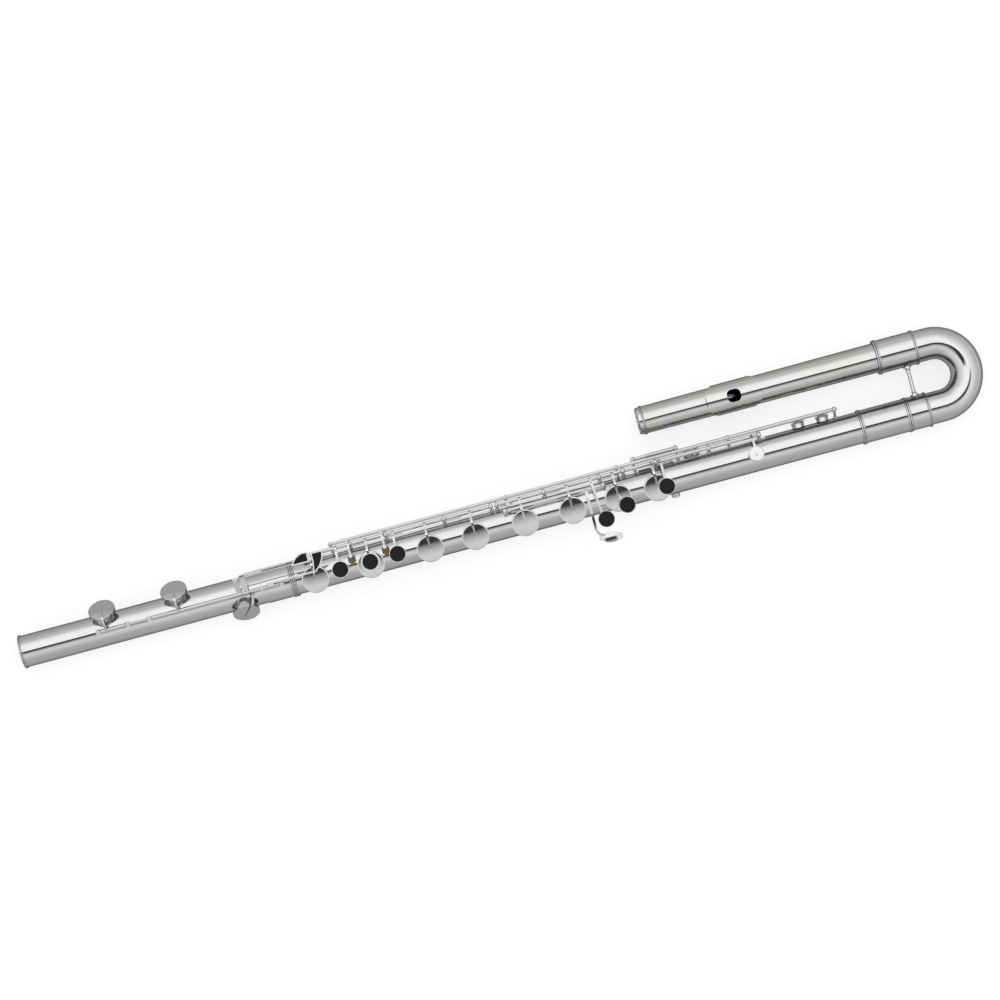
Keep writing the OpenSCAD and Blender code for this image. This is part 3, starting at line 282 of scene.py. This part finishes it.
# Degrees round the flute's length (0 is overhead, +90 is behind) and the brightness there.
TENT = [
    (-180, 0.20), (-146, 0.20), (-115, 0.32), (-91, 0.87), (-84, 0.50), (-77, 0.44), (-67, 0.43),
    (-59, 0.49), (-51, 0.55), (-43, 0.61), (-36, 0.66), (-29, 0.70), (-21, 0.72), (-8, 0.85),
    (0, 1.0), (14, 1.0), (29, 0.99), (36, 0.95), (43, 0.90), (51, 0.77), (59, 0.61), (67, 0.53),
    (77, 0.49), (84, 0.68), (91, 1.0), (115, 0.38), (146, 0.27), (180, 0.20),
]
# The share of the tent's brightness that is left in the dark gap along its top.
GAP = [
    (-180, 1.0), (-29, 1.0), (-26.5, 0.92), (-23.5, 0.80), (-21, 0.70), (-18.4, 0.56),
    (-15.8, 0.42), (-13.1, 0.26), (-11, 0.05), (-1.8, 0.03), (-0.9, 1.0), (180, 1.0),
]
# Height from straight down (0) to straight up (1) and the brightness there, past the tent's ends.
DOME = [(0.0, 0.20), (0.30, 0.32), (0.50, 0.42), (0.72, 0.58), (0.88, 0.76), (1.0, 0.95)]
# How far a direction leans along the flute where the tent starts to end and where it is over.
TENT_ENDS = (0.3, 0.45)


def across(tree, angle, stops):
    """Ramp over an angle in radians, through stops in degrees."""
    place = remap(tree, angle, -math.pi, math.pi)
    return ramp(tree, place, [(degrees / 360 + 0.5, grey(value)) for degrees, value in stops])


def studio_world():
    """A tent of soft light along the flute with one narrow dark gap, and a plain dome past it."""
    world = bpy.data.worlds.new("studio")
    bpy.context.scene.world = world
    world.use_nodes = True
    tree = world.node_tree
    tree.nodes.clear()
    coords = node(tree, "ShaderNodeTexCoord")
    axes = node(tree, "ShaderNodeSeparateXYZ", {"Vector": coords.outputs["Generated"]})
    x, y, z = (axes.outputs[axis] for axis in "XYZ")

    angle = maths(tree, "ARCTAN2", y, z)
    share = node(tree, "ShaderNodeSeparateColor", {"Color": across(tree, angle, GAP)})
    tent = node(tree, "ShaderNodeBackground", {"Color": across(tree, angle, TENT),
                                               "Strength": share.outputs["Red"]})
    height = remap(tree, z, -1.0, 1.0)
    dome = node(tree, "ShaderNodeBackground", {
        "Color": ramp(tree, height, [(place, grey(value)) for place, value in DOME]),
        "Strength": 1.0,
    })
    past = remap(tree, maths(tree, "ABSOLUTE", x), *TENT_ENDS)
    both = node(tree, "ShaderNodeMixShader", {0: past, 1: tent.outputs["Background"],
                                              2: dome.outputs["Background"]})
    node(tree, "ShaderNodeOutputWorld", {"Surface": both.outputs["Shader"]})


studio_world()

# ---------------------------------------------------------------- camera

TILT = math.radians(15.0)
CAMERA_HEIGHT = 3.0
PICTURE_WIDTH = 1.0
PICTURE_MIDDLE = (0.5012, 0.0232)
SENSOR = 36.0

camera_data = bpy.data.cameras.new("camera")
camera_data.sensor_fit = "HORIZONTAL"
camera_data.sensor_width = SENSOR
camera_data.lens = SENSOR * CAMERA_HEIGHT / PICTURE_WIDTH
camera_data.clip_start = 0.05
camera_data.clip_end = 30.0
camera = bpy.data.objects.new("camera", camera_data)
bpy.context.scene.collection.objects.link(camera)
camera.location = (*PICTURE_MIDDLE, CAMERA_HEIGHT)
camera.rotation_euler = (0.0, 0.0, -TILT)
bpy.context.scene.camera = camera
bpy.context.scene.view_settings.view_transform = "Standard"
